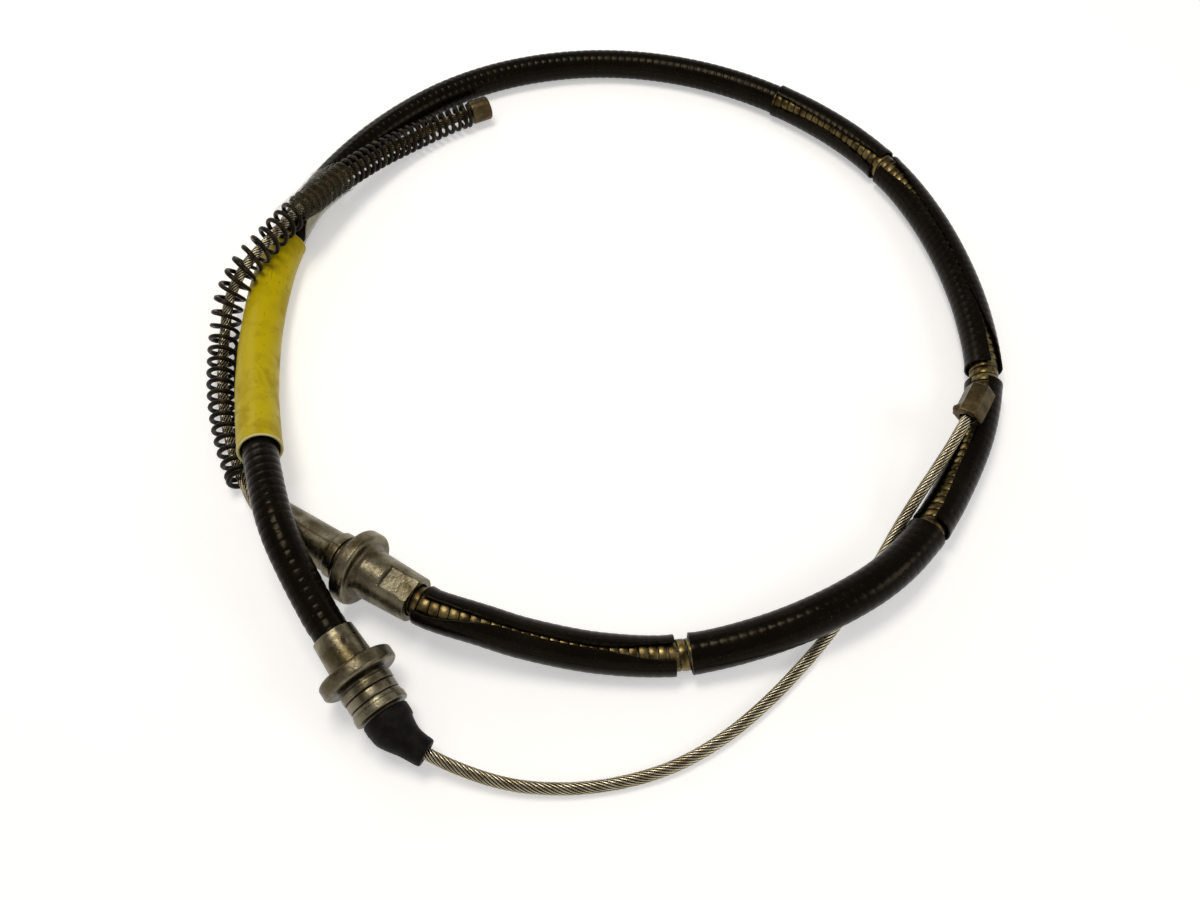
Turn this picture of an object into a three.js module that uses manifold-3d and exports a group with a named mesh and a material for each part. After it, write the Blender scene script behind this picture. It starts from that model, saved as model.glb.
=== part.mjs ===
// Parking brake cable: one wire rope in an armoured casing, laid in a loop on a flat surface.
// All lengths are in millimetres, +Z is up, and the origin is the middle of the footprint on that surface.
import * as THREE from "three";
import { mergeVertices } from "three/addons/utils/BufferGeometryUtils.js";
import Module from "manifold-3d";

const wasm = await Module();
wasm.setup();

// Driving dimensions of the rope and what is wound or drawn over it
const ropeDiameter = 3.2;
const ropeClearance = 0.95;
const linerWall = 0.5;
const layerClearance = 0.35;
const wireThickness = 0.8;
const wirePitch = 2.6;
const grooveDepth = 0.35;
const coverWall = 0.3;
const sleeveSlack = 0.6;
const sleeveWall = 0.6;
const tagSlack = 0.45;
const tagWall = 0.9;
const buttGap = 0.3;

// The split sleeves: length of each, the gap after it, where its slit faces and how far it opens.
// An angle is measured from straight up towards the inside of the loop.
const firstSleeveStart = 2.5;
const splitSleeves = [
  { length: 67, gap: 4, facing: -5, openEnds: 30, openMiddle: 9 },
  { length: 76.5, gap: 2.5, facing: 150, openEnds: 8, openMiddle: 6 },
  { length: 53.5, gap: 5.5, facing: 35, openEnds: 32, openMiddle: 16 },
  { length: 86, gap: 2.5, facing: 12, openEnds: 22, openMiddle: 5 },
  { length: 46, gap: 0.5, facing: 50, openEnds: 26, openMiddle: 14 },
];

// The yellow sleeve and the tape, from the bracket fitting's mouth back along the casing
const tagSetback = 59;
const tagLength = 86.5;
const tapeSetback = 154;
const tapeLength = 24;
const tapeWall = 0.3;

// The fitting at the lever end: lengths along its axis from the nose, and diameters
const nose = { length: 23.2, diameter: 11.6 };
const collar = { length: 2.8, diameter: 13 };
const neck = { length: 2.9, diameter: 12 };
const leverFlange = { length: 4.2, diameter: 20.6 };
const leverBarrel = { length: 16.9, rootDiameter: 13.6, endDiameter: 12.4 };
const leverSeatDepth = 14;
const barrelRecess = { length: 13, width: 8, depth: 0.9 };

// The fitting at the bracket end: lengths along its axis from its mouth, and diameters
const bracketBarrel = { length: 9.9, mouthDiameter: 11.2, rootDiameter: 12.2 };
const bracketFlange = { length: 4.2, diameter: 20.4 };
const bracketSeatDepth = 9;
const bracketRings = [
  { length: 1.2, diameter: 13.2 },
  { length: 2.2, diameter: 14.2 },
  { length: 0.8, diameter: 12.4 },
  { length: 1.1, diameter: 13.6 },
  { length: 0.8, diameter: 12.4 },
  { length: 1.1, diameter: 13.6 },
  { length: 0.7, diameter: 12.4 },
  { length: 1.7, diameter: 14.3 },
];
const spigot = { length: 3.4, diameter: 10 };
const flangeRound = 0.8;

// The boot, the return spring and the two swaged ends
const boot = { length: 15, diameter: 12.3, mouthDiameter: 7.2, cuff: 3 };
const springDiameter = 9.3;
const springWire = 1.15;
const springPitchOpen = 4.5;
const springPitchTight = 3.25;
const springTightShare = 0.42;
const closedTurns = 1.25;
const button = { length: 7, diameter: 8, socket: 5.4 };
const endStop = { length: 13, diameter: 8.2, lipDiameter: 9, lipLength: 1.6 };
const ropeProud = 1.2;

// Facets: sides round a section and lengths of a step along the route
const casingSides = 8;
const fittingSides = 20;
const casingStep = 10;
const sleeveStep = 7;

// The way the rope takes through the return spring, from the button to the spring's free end
const springWay = [
  [-45.6, 106.9, 4.9], [-57.4, 101.1, 4.9], [-66.4, 95.0, 5.1], [-74.5, 87.8, 6.3],
  [-81.8, 79.9, 8.2], [-88.3, 71.4, 10.2], [-94.2, 62.5, 12.4], [-99.4, 53.1, 14.5],
  [-104.3, 43.5, 16.5], [-108.8, 33.6, 17.8], [-114.9, 24.6, 16.3], [-119.8, 16.2, 11.2],
  [-121.2, 7.0, 6.4], [-120.5, -3.3, 4.9], [-118.6, -14.0, 4.8], [-115.7, -24.5, 4.9],
  [-111.8, -34.7, 5.0], [-107.1, -44.5, 5.1],
];

// The way the casing takes between its two fittings
const casingWay = [
  [-36.6, -89.8, 11.4], [-25.2, -92.6, 8.8], [-5.5, -95.6, 6.1], [14.5, -95.9, 5.5],
  [34.1, -92.1, 7.1], [52.8, -85.3, 9.0], [70.1, -75.1, 9.0], [84.1, -61.0, 6.8],
  [95.3, -44.4, 5.5], [104.3, -26.4, 5.5], [109.5, -7.2, 5.5], [110.0, 12.8, 5.5],
  [107.5, 32.8, 5.5], [102.4, 52.2, 5.5], [94.4, 70.6, 5.5], [83.0, 87.1, 5.5],
  [68.8, 101.2, 5.4], [52.5, 112.9, 5.2], [34.5, 121.8, 5.0], [15.3, 127.4, 4.9],
  [-4.6, 129.4, 4.9], [-24.6, 127.6, 4.9], [-43.9, 122.1, 4.9], [-61.6, 112.8, 4.9],
  [-77.0, 100.0, 4.9], [-89.9, 84.6, 5.1], [-99.9, 67.2, 5.6], [-106.5, 48.3, 6.1],
  [-109.5, 28.5, 6.4], [-109.7, 8.5, 7.0], [-107.4, -11.4, 9.2], [-102.9, -30.5, 13.6],
  [-97.0, -49.1, 18.3], [-89.6, -67.7, 19.3],
];

// The way of the free rope, from just past the boot to its end on top of the casing
const freeWay = [
  [-53.0, -118.7, 6.9], [-46.9, -122.1, 5.9], [-37.6, -125.6, 4.2],
  [-27.8, -128.0, 2.8], [-17.7, -128.8, 2.1],
  [-7.6, -128.3, 1.8], [2.5, -126.5, 1.8], [12.2, -123.4, 1.8], [21.3, -118.8, 1.8],
  [29.7, -113.1, 1.8], [37.5, -106.6, 1.8], [44.9, -99.5, 1.8], [51.9, -92.1, 1.8],
  [58.5, -84.3, 1.8], [64.8, -76.3, 2.0], [70.7, -68.1, 3.0], [76.2, -59.7, 4.7],
  [82.0, -51.6, 7.3], [88.0, -43.7, 10.2], [93.7, -35.9, 12.8], [99.1, -27.6, 14.5],
  [104.0, -19.4, 15.0],
];

// Where each fitting lies: a point on its axis and the axis's direction along the rope
const leverNose = new THREE.Vector3(-96.2, -57.3, 7.9);
const leverAxis = new THREE.Vector3(0.849, -0.519, 0.08).normalize();
const bracketMouth = new THREE.Vector3(-74.1, -92.8, 12.2);
const bracketAxis = new THREE.Vector3(0.6, -0.8, -0.17).normalize();

// Radii and lengths that follow from the driving dimensions
const ropeRadius = ropeDiameter / 2;
const linerInner = ropeRadius + ropeClearance;
const linerOuter = linerInner + linerWall;
const armourInner = linerOuter + layerClearance;
const armourOuter = armourInner + wireThickness;
const coverInner = armourOuter + layerClearance;
const coverOuter = coverInner + coverWall;
const sleeveInner = armourOuter + sleeveSlack;
const sleeveOuter = sleeveInner + sleeveWall;
const tagInner = coverOuter + tagSlack;
const tagOuter = tagInner + tagWall;
const seatRadius = armourOuter + layerClearance;
const ropeBore = ropeRadius + ropeClearance;
const leverLength = nose.length + collar.length + neck.length + leverFlange.length + leverBarrel.length;
const ringsLength = bracketRings.reduce((sum, ring) => sum + ring.length, 0);
const bracketLength = bracketBarrel.length + bracketFlange.length + ringsLength + spigot.length;
const bootStart = bracketLength - boot.cuff;

const toVector = ([x, y, z]) => new THREE.Vector3(x, y, z);

// Points on a fitting's straight axis, with one before it and one after it to lead the curve in and out
function pointsOnAxis(start, axis, length, leadIn, leadOut) {
  const spacing = 10;
  const count = Math.round(length / spacing);
  const inside = Array.from({ length: count + 1 }, (_, i) => (i * length) / count);
  return [-leadIn, ...inside, length + leadOut].map((d) => start.clone().addScaledVector(axis, d));
}

// One smooth curve carries everything, because the rope runs through every piece
const routePoints = [
  ...springWay.map(toVector),
  ...pointsOnAxis(leverNose, leverAxis, leverLength, 5, 5),
  ...casingWay.map(toVector),
  ...pointsOnAxis(bracketMouth, bracketAxis, bracketLength, 6, 1.5),
  ...freeWay.map(toVector),
];
const route = new THREE.CatmullRomCurve3(routePoints, false, "centripetal");
route.arcLengthDivisions = 3000;
const routeLength = route.getLength();

// The distance along the route of the point on it that lies nearest a given one
function stationOf(point) {
  const samples = 6000;
  let best = 0;
  let nearest = Infinity;
  for (let i = 0; i <= samples; i++) {
    const distance = route.getPointAt(i / samples).distanceTo(point);
    if (distance < nearest) {
      nearest = distance;
      best = i / samples;
    }
  }
  return best * routeLength;
}

const noseStation = stationOf(leverNose);
const casingStart = noseStation + leverLength;
const casingEnd = stationOf(bracketMouth);
const springEnd = stationOf(toVector(springWay[springWay.length - 1]));

// The upright frame of the route at a station: x to the left of travel, y up and z along
function frameAt(station) {
  const u = THREE.MathUtils.clamp(station / routeLength, 0, 1);
  const along = route.getTangentAt(u);
  const left = new THREE.Vector3(0, 0, 1).cross(along).normalize();
  const up = along.clone().cross(left);
  return { centre: route.getPointAt(u), left, up, along };
}

// A geometry with every vertex moved by a function of its place
function reshape(geometry, move) {
  const position = geometry.getAttribute("position");
  const point = new THREE.Vector3();
  for (let i = 0; i < position.count; i++) {
    point.fromBufferAttribute(position, i);
    const moved = move(point);
    position.setXYZ(i, moved.x, moved.y, moved.z);
  }
  geometry.computeVertexNormals();
  return geometry;
}

// Bends a piece made straight along +Z so that it follows the route from a station on
function layAlong(geometry, start) {
  return reshape(geometry, (p) => {
    const { centre, left, up } = frameAt(start + p.z);
    return centre.addScaledVector(left, p.x).addScaledVector(up, p.y);
  });
}

// The points of a regular outline with a flat side down
function ringPoints(radius, sides) {
  return Array.from({ length: sides }, (_, i) => {
    const angle = ((i + 0.5) * 2 * Math.PI) / sides;
    return new THREE.Vector2(radius * Math.cos(angle), radius * Math.sin(angle));
  });
}

function extrudeStraight(shape, length, step) {
  const steps = Math.max(1, Math.round(length / step));
  return new THREE.ExtrudeGeometry(shape, { depth: length, steps, bevelEnabled: false });
}

function straightTube(inner, outer, length, sides, step) {
  const shape = new THREE.Shape(ringPoints(outer, sides));
  shape.holes.push(new THREE.Path(ringPoints(inner, sides)));
  return extrudeStraight(shape, length, step);
}

// A turned piece: its half outline as [distance along the axis, radius] pairs, turned about +Z
function turned(outline, sides) {
  const points = outline.map(([along, radius]) => new THREE.Vector2(radius, along));
  points.push(points[0].clone());
  const geometry = new THREE.LatheGeometry(points, sides, Math.PI / sides);
  return geometry.rotateX(Math.PI / 2);
}

// A closed solid for joining and cutting, and back again
function toSolid(geometry) {
  const bare = geometry.clone();
  bare.deleteAttribute("normal");
  bare.deleteAttribute("uv");
  const merged = mergeVertices(bare, 1e-4);
  return new wasm.Manifold(
    new wasm.Mesh({
      numProp: 3,
      vertProperties: merged.getAttribute("position").array,
      triVerts: new Uint32Array(merged.index.array),
    }),
  );
}

function fromSolid(solid) {
  const mesh = solid.getMesh();
  const geometry = new THREE.BufferGeometry();
  geometry.setAttribute("position", new THREE.BufferAttribute(mesh.vertProperties, 3));
  geometry.setIndex(new THREE.BufferAttribute(mesh.triVerts, 1));
  geometry.computeVertexNormals();
  return geometry;
}

// Equally spaced stations from one up to, but without, the other
function spread(from, to, count) {
  return Array.from({ length: count }, (_, i) => THREE.MathUtils.lerp(from, to, i / count));
}

// The wire rope: one round tube from its end in the button to its cut end past the end stop.
// It turns hardest in the boot, so its steps are shorter there.
function makeRope() {
  const start = button.length - button.socket;
  const bendStart = casingEnd + bootStart;
  const bendEnd = bendStart + boot.length + 3 * ropeDiameter;
  const stations = [
    ...spread(start, bendStart, 63),
    ...spread(bendStart, bendEnd, 6),
    ...spread(bendEnd, routeLength, 13),
    routeLength,
  ];
  const steps = stations.length - 1;
  const section = new THREE.Shape(ringPoints(ropeRadius, casingSides));
  const rope = new THREE.ExtrudeGeometry(section, { depth: steps, steps, bevelEnabled: false });
  return layAlong(reshape(rope, (p) => new THREE.Vector3(p.x, p.y, stations[Math.round(p.z)])), 0);
}

// The plastic tube that lines the armour
function makeLiner() {
  const start = casingStart - leverSeatDepth + buttGap;
  const length = casingEnd + bracketSeatDepth - buttGap - start;
  return layAlong(straightTube(linerInner, linerOuter, length, casingSides, casingStep), start);
}

// The flat wire wound into a tube. The winding is cut as ridges only where the cover leaves it bare.
function makeArmour() {
  const start = casingStart - leverSeatDepth + buttGap;
  const end = casingEnd + bracketSeatDepth - buttGap;
  const outline = [];
  for (const [from, to] of bareStretches()) {
    const turns = Math.floor((to - from) / wirePitch);
    for (let i = 0; i < turns; i++) {
      outline.push([from + i * wirePitch - start, armourOuter]);
      outline.push([from + (i + 0.72) * wirePitch - start, armourOuter - grooveDepth]);
    }
  }
  const covered = (station) => !bareStretches().some(([from, to]) => station > from - wirePitch && station < to);
  for (let station = start; station < end - casingStep / 2; station += casingStep) {
    if (covered(station)) outline.push([station - start, armourOuter]);
  }
  outline.push([end - start, armourOuter]);
  outline.sort((a, b) => a[0] - b[0]);
  const boreSteps = Math.round((end - start) / casingStep);
  for (let i = boreSteps; i >= 0; i--) {
    outline.push([((end - start) * i) / boreSteps, armourInner]);
  }
  return layAlong(turned(outline, casingSides), start);
}

// Stations of each split sleeve, from the lever fitting on
function sleeveStations() {
  let start = casingStart + firstSleeveStart;
  return splitSleeves.map((sleeve) => {
    const stations = { start, end: start + sleeve.length };
    start = stations.end + sleeve.gap;
    return stations;
  });
}

// Where the armour shows: along the open slits and in the gaps between the sleeves
function bareStretches() {
  const [first, second, third, fourth, fifth] = sleeveStations();
  const slitEnd = 22;
  return [
    [casingStart, second.start + wirePitch],
    [second.end - wirePitch, fourth.start + slitEnd],
    [fourth.end - wirePitch, fifth.end],
  ];
}

// A slit tube whose edges stand further apart at its ends than in its middle
function makeSplitSleeve(sleeve, start) {
  const half = Math.PI - THREE.MathUtils.degToRad(sleeve.openMiddle);
  const points = [];
  for (const radius of [sleeveOuter, sleeveInner]) {
    const arc = Array.from({ length: casingSides + 1 }, (_, i) => {
      const angle = THREE.MathUtils.lerp(-half, half, i / casingSides);
      return new THREE.Vector2(radius * Math.cos(angle), radius * Math.sin(angle));
    });
    points.push(...(radius === sleeveOuter ? arc : arc.reverse()));
  }
  const geometry = extrudeStraight(new THREE.Shape(points), sleeve.length, sleeveStep);
  const turn = THREE.MathUtils.degToRad(270 - sleeve.facing);
  reshape(geometry, (p) => {
    const towardsEnd = Math.abs((2 * p.z) / sleeve.length - 1) ** 3;
    const opening = THREE.MathUtils.degToRad(
      THREE.MathUtils.lerp(sleeve.openMiddle, sleeve.openEnds, towardsEnd),
    );
    const angle = (Math.atan2(p.y, p.x) * (Math.PI - opening)) / half + turn;
    const radius = Math.hypot(p.x, p.y);
    return new THREE.Vector3(radius * Math.cos(angle), radius * Math.sin(angle), p.z);
  });
  return layAlong(geometry, start);
}

// The thin black cover drawn over the rest of the armour
function makeCover() {
  const start = sleeveStations().at(-1).end + buttGap;
  const length = casingEnd - buttGap - start;
  return layAlong(straightTube(coverInner, coverOuter, length, casingSides, casingStep), start);
}

function makeTagSleeve() {
  const start = casingEnd - tagSetback - tagLength;
  return layAlong(straightTube(tagInner, tagOuter, tagLength, casingSides, casingStep), start);
}

// Where the rope in the spring passes the plane across the casing at a station
function springBeside(station) {
  const { centre, left, up, along } = frameAt(station);
  let best = null;
  let nearest = Infinity;
  for (let at = 0; at < springEnd; at += 0.5) {
    const offset = route.getPointAt(at / routeLength).sub(centre);
    const away = Math.abs(offset.dot(along));
    if (away < nearest && offset.length() < 3 * springDiameter) {
      nearest = away;
      best = new THREE.Vector2(offset.dot(left), offset.dot(up));
    }
  }
  return best;
}

// The clear tape: a band drawn tight round the casing and the spring that lies over it
function makeTape() {
  const start = casingEnd - tapeSetback - tapeLength;
  const sides = 16;
  const slack = layerClearance;
  const band = straightTube(1, 2, tapeLength, sides, 3);
  reshape(band, (p) => {
    const direction = new THREE.Vector2(p.x, p.y).normalize();
    const grow = slack + (Math.hypot(p.x, p.y) > 1.5 ? tapeWall : 0);
    const spring = springBeside(start + p.z);
    const onCasing = (coverOuter + grow) / Math.cos(Math.PI / sides);
    const onSpring = (springDiameter / 2 + grow) / Math.cos(Math.PI / sides);
    const reachesSpring = spring.dot(direction) + onSpring > onCasing;
    const centre = reachesSpring ? spring : new THREE.Vector2();
    const corner = centre.addScaledVector(direction, reachesSpring ? onSpring : onCasing);
    return new THREE.Vector3(corner.x, corner.y, p.z);
  });
  return layAlong(band, start);
}

// A turned piece set rigidly on an axis
function setOnAxis(geometry, start, axis) {
  const left = new THREE.Vector3(0, 0, 1).cross(axis).normalize();
  const up = axis.clone().cross(left);
  const place = new THREE.Matrix4().makeBasis(left, up, axis).setPosition(start);
  return geometry.applyMatrix4(place);
}

// A flange outline with rounded corners, from its near face to its far face
function flangeOutline(start, flange) {
  const radius = flange.diameter / 2;
  return [
    [start, radius - flangeRound],
    [start + flangeRound, radius],
    [start + flange.length - flangeRound, radius],
    [start + flange.length, radius - flangeRound],
  ];
}

// The cast fitting at the lever end, with the recess cut in the top of its barrel
function makeLeverFitting() {
  const chamfer = 0.5;
  const noseEnd = nose.length;
  const collarEnd = noseEnd + collar.length;
  const neckEnd = collarEnd + neck.length;
  const flangeEnd = neckEnd + leverFlange.length;
  const fillet = 1.2;
  const outline = [
    [0, nose.diameter / 2 - chamfer],
    [chamfer, nose.diameter / 2],
    [noseEnd, nose.diameter / 2],
    [noseEnd, collar.diameter / 2],
    [collarEnd, collar.diameter / 2],
    [collarEnd, neck.diameter / 2],
    [neckEnd, neck.diameter / 2],
    ...flangeOutline(neckEnd, leverFlange),
    [flangeEnd, leverBarrel.rootDiameter / 2 + fillet],
    [flangeEnd + fillet, leverBarrel.rootDiameter / 2],
    [leverLength, leverBarrel.endDiameter / 2],
    [leverLength, seatRadius],
    [leverLength - leverSeatDepth, seatRadius],
    [leverLength - leverSeatDepth, ropeBore],
    [0, ropeBore],
  ];
  const body = turned(outline, fittingSides);
  const reach = leverBarrel.rootDiameter;
  const box = new THREE.BoxGeometry(barrelRecess.width, reach, barrelRecess.length);
  const floor = leverBarrel.endDiameter / 2 - barrelRecess.depth;
  box.translate(0, floor + reach / 2, leverLength - barrelRecess.length / 2 + chamfer);
  return setOnAxis(fromSolid(toSolid(body).subtract(toSolid(box))), leverNose, leverAxis);
}

// The cast fitting at the bracket end, with the rings that a clip snaps between
function makeBracketFitting() {
  const outline = [
    [0, bracketBarrel.mouthDiameter / 2],
    [bracketBarrel.length, bracketBarrel.rootDiameter / 2],
    ...flangeOutline(bracketBarrel.length, bracketFlange),
  ];
  let along = bracketBarrel.length + bracketFlange.length;
  for (const ring of bracketRings) {
    outline.push([along, ring.diameter / 2]);
    along += ring.length;
    outline.push([along, ring.diameter / 2]);
  }
  outline.push(
    [along, spigot.diameter / 2],
    [bracketLength, spigot.diameter / 2],
    [bracketLength, ropeBore],
    [bracketSeatDepth, ropeBore],
    [bracketSeatDepth, seatRadius],
    [0, seatRadius],
  );
  return setOnAxis(turned(outline, fittingSides), bracketMouth, bracketAxis);
}

// The rubber boot, drawn over the spigot and narrowing on to the rope
function makeBoot() {
  const outer = boot.diameter / 2;
  const mouth = boot.mouthDiameter / 2;
  const cuffEnd = boot.cuff + buttGap;
  const outline = [
    [buttGap, outer - 0.3],
    [buttGap + 0.5, outer],
    [0.22 * boot.length, outer],
    [0.36 * boot.length, outer - 0.9],
    [0.55 * boot.length, mouth + 0.9],
    [0.75 * boot.length, mouth + 0.3],
    [boot.length, mouth],
    [boot.length, ropeRadius + 0.6],
    [cuffEnd, ropeBore],
    [cuffEnd, spigot.diameter / 2 + layerClearance],
    [buttGap, spigot.diameter / 2 + layerClearance],
  ];
  return layAlong(turned(outline, 16), casingEnd + bootStart);
}

// The return spring: open turns at its free end, tighter ones towards the button, closed turns at both ends
function makeSpring() {
  const start = button.length + buttGap;
  const length = springEnd - start;
  const radius = (springDiameter - springWire) / 2;
  const closedPitch = springWire + 0.25;
  const closedLength = closedTurns * closedPitch;
  const openLength = length - 2 * closedLength - springWire;
  const tightLength = springTightShare * openLength;
  const stretches = [
    [closedLength, closedPitch],
    [tightLength, springPitchTight],
    [openLength - tightLength, springPitchOpen],
    [closedLength, closedPitch],
  ];
  const turns = stretches.reduce((sum, [run, pitch]) => sum + run / pitch, 0);
  const alongAfter = (turn) => {
    let left = turn;
    let along = springWire / 2;
    for (const [run, pitch] of stretches) {
      const share = Math.min(left, run / pitch);
      along += share * pitch;
      left -= share;
    }
    return along;
  };
  const segmentsPerTurn = 10;
  const steps = Math.round(turns * segmentsPerTurn);
  const section = new THREE.Shape(ringPoints(springWire / 2, 4));
  const wire = new THREE.ExtrudeGeometry(section, { depth: turns, steps, bevelEnabled: false });
  return reshape(wire, (p) => {
    const angle = 2 * Math.PI * p.z;
    const { centre, left, up, along } = frameAt(start + alongAfter(p.z));
    const out = radius + p.x;
    return centre
      .addScaledVector(left, out * Math.sin(angle))
      .addScaledVector(up, out * Math.cos(angle))
      .addScaledVector(along, p.y);
  });
}

// The steel button swaged on the rope at the spring's end
function makeButton() {
  const radius = button.diameter / 2;
  const bore = ropeRadius + 0.35;
  const chamfer = 0.5;
  const outline = [
    [0, 0],
    [0, radius - chamfer],
    [chamfer, radius],
    [button.length, radius],
    [button.length, bore],
    [button.length - button.socket - 0.5, bore],
    [button.length - button.socket - 0.5, 0],
  ];
  return layAlong(turned(outline, fittingSides), 0);
}

// The sleeve swaged on the rope's other end, with a lip at its lower end
function makeEndStop() {
  const radius = endStop.diameter / 2;
  const bore = ropeRadius + 0.5;
  const outline = [
    [0, endStop.lipDiameter / 2],
    [endStop.lipLength, endStop.lipDiameter / 2],
    [endStop.lipLength + 0.8, radius],
    [endStop.length / 2, radius],
    [endStop.length, radius],
    [endStop.length, bore],
    [endStop.length / 2, bore],
    [0, bore],
  ];
  return layAlong(turned(outline, 16), routeLength - ropeProud - endStop.length);
}

// Finishes, with the colour, roughness and metalness of each
function finish(color, roughness, metalness, extra = {}) {
  return new THREE.MeshStandardMaterial({ color, roughness, metalness, ...extra });
}

const galvanised = finish(0xb9b4a6, 0.35, 1);
const springSteel = finish(0x1b1713, 0.35, 0.8);
const flatWire = finish(0x6e5f45, 0.4, 1);
const castMetal = finish(0x9a958a, 0.45, 1);
const brownSteel = finish(0x76695a, 0.45, 1);
const blackVinyl = finish(0x0d0b09, 0.3, 0);
const yellowVinyl = finish(0xb8a300, 0.5, 0);
const blackRubber = finish(0x14120f, 0.7, 0);
const nylon = finish(0xd8d4c4, 0.5, 0);
const clearFilm = finish(0xcfc28a, 0.15, 0, { transparent: true, opacity: 0.45 });

const cable = new THREE.Group();

function addPiece(name, geometry, material) {
  const mesh = new THREE.Mesh(geometry, material);
  mesh.name = name;
  cable.add(mesh);
}

addPiece("inner_rope", makeRope(), galvanised);
addPiece("liner", makeLiner(), nylon);
addPiece("conduit_armour", makeArmour(), flatWire);
addPiece("conduit_cover", makeCover(), blackVinyl);
sleeveStations().forEach(({ start }, i) => {
  addPiece("split_sleeve_" + (i + 1), makeSplitSleeve(splitSleeves[i], start), blackVinyl);
});
addPiece("tag_sleeve", makeTagSleeve(), yellowVinyl);
addPiece("tape_wrap", makeTape(), clearFilm);
addPiece("lever_end_fitting", makeLeverFitting(), castMetal);
addPiece("bracket_end_fitting", makeBracketFitting(), castMetal);
addPiece("rubber_boot", makeBoot(), blackRubber);
addPiece("return_spring", makeSpring(), springSteel);
addPiece("spring_button", makeButton(), brownSteel);
addPiece("end_stop", makeEndStop(), brownSteel);

// The origin goes to the middle of the footprint, on the surface that the cable lies on
const box = new THREE.Box3().setFromObject(cable, true);
const centre = box.getCenter(new THREE.Vector3());
cable.position.set(-centre.x, -centre.y, -box.min.z);

export default cable;
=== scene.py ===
# The looks of a parking brake cable lying in a loop. Lengths are in metres and +Z is up.
import math

import bpy
import numpy as np
from mathutils import Matrix, Vector, noise


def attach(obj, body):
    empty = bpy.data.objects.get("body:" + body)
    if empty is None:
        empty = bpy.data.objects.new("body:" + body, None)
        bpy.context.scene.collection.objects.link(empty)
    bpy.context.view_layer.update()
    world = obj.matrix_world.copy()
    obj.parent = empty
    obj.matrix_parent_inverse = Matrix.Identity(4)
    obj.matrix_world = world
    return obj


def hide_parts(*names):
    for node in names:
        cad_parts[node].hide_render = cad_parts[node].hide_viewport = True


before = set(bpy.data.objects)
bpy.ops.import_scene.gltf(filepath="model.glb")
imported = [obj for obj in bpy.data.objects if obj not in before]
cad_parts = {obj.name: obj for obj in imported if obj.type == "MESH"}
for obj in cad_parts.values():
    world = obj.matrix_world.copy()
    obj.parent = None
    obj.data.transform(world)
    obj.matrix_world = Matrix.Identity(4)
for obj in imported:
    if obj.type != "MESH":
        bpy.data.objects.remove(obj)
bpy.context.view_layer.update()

MM = 0.001
BODY = "root"

# Sizes of the rope and of what is wound or drawn over it
ROPE_DIAMETER = 3.2 * MM
ROPE_WIRES = 12
ROPE_LAY = 19 * MM
WIRE_PITCH = 2.6 * MM
WIRE_THICKNESS = 0.8 * MM
WIRE_GAP = 0.14 * MM
ARMOUR_RADIUS = 4.2 * MM
COVER_RADIUS = 4.85 * MM
COVER_WALL = 0.3 * MM
SLEEVE_RADIUS = 5.4 * MM
SLEEVE_WALL = 0.6 * MM
TAG_RADIUS = 6.2 * MM
TAG_WALL = 0.9 * MM
BUTT_GAP = 0.3 * MM
ROPE_BORE = 2.55 * MM
SEAT_RADIUS = 4.55 * MM

# The split sleeves: length, the gap after, where the slit faces at the start, a third along and at the end,
# and half of its opening at both ends and in the middle. All angles are in degrees, and a facing is measured
# from straight up towards the inside of the loop.
FIRST_SLEEVE_START = 2.5 * MM
SPLIT_SLEEVES = [
    {"length": 67 * MM, "gap": 4 * MM, "facing": (-17, 0, -6), "ends": 30, "middle": 8},
    {"length": 76.5 * MM, "gap": 2.5 * MM, "facing": (150, 150, 150), "ends": 8, "middle": 6},
    {"length": 53.5 * MM, "gap": 5.5 * MM, "facing": (35, 35, 30), "ends": 31, "middle": 20},
    {"length": 86 * MM, "gap": 2.5 * MM, "facing": (-36, 10, 14), "ends": 30, "middle": 6},
    {"length": 46 * MM, "gap": 0.5 * MM, "facing": (45, 50, 50), "ends": 28, "middle": 16},
]
SLIT_MOUTH = 21 * MM

# The yellow sleeve and the tape, from the bracket fitting's mouth back along the casing
TAG_SETBACK = 59 * MM
TAG_LENGTH = 86.5 * MM
TAPE_SETBACK = 154 * MM
TAPE_LENGTH = 24 * MM
# The film lies nearer to the sleeve than its solid by the shift, and is longer by the tail
TAPE_SHIFT = 4 * MM
TAPE_TAIL = 3 * MM
TAPE_WALL = 0.15 * MM
TAPE_SLACK = 0.4 * MM

# The two cast fittings, with lengths along the rope
LEVER_LENGTH = 50 * MM
LEVER_SEAT_DEPTH = 14 * MM
BRACKET_LENGTH = 27.1 * MM
BRACKET_SEAT_DEPTH = 9 * MM

# How far before and after a fitting the route still lies on its axis, and how finely the route is sampled
LEVER_LEAD = 5 * MM
BRACKET_LEAD_IN = 6 * MM
BRACKET_LEAD_OUT = 1.5 * MM
AXIS_POINT_SPACING = 10 * MM
ROUTE_SAMPLES = 64

# Where the stretches of the rope meet, out of sight in the nose and the boot
ROPE_IN_NOSE = 4 * MM
ROPE_IN_BOOT = 5 * MM
ROPE_LAP = 1 * MM
WIRE_END_SETBACK = 0.45 * MM

# The boot, the return spring and the two swaged ends
BOOT_LENGTH = 15 * MM
BOOT_CUFF = 3 * MM
SPRING_DIAMETER = 9.3 * MM
SPRING_WIRE = 1.45 * MM
SPRING_PITCH_OPEN = 4.05 * MM
SPRING_PITCH_TIGHT = 2.75 * MM
SPRING_TIGHT_SHARE = 0.42
SPRING_CLOSED_TURNS = 1.25
BUTTON_LENGTH = 7 * MM
BUTTON_SOCKET = 5.4 * MM
END_STOP_LENGTH = 13 * MM
ROPE_PROUD = 1.2 * MM

# What moves the route's own frame to the middle of the footprint
CENTRING = np.array([0.004994, -0.001892, 0.000082])

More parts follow.
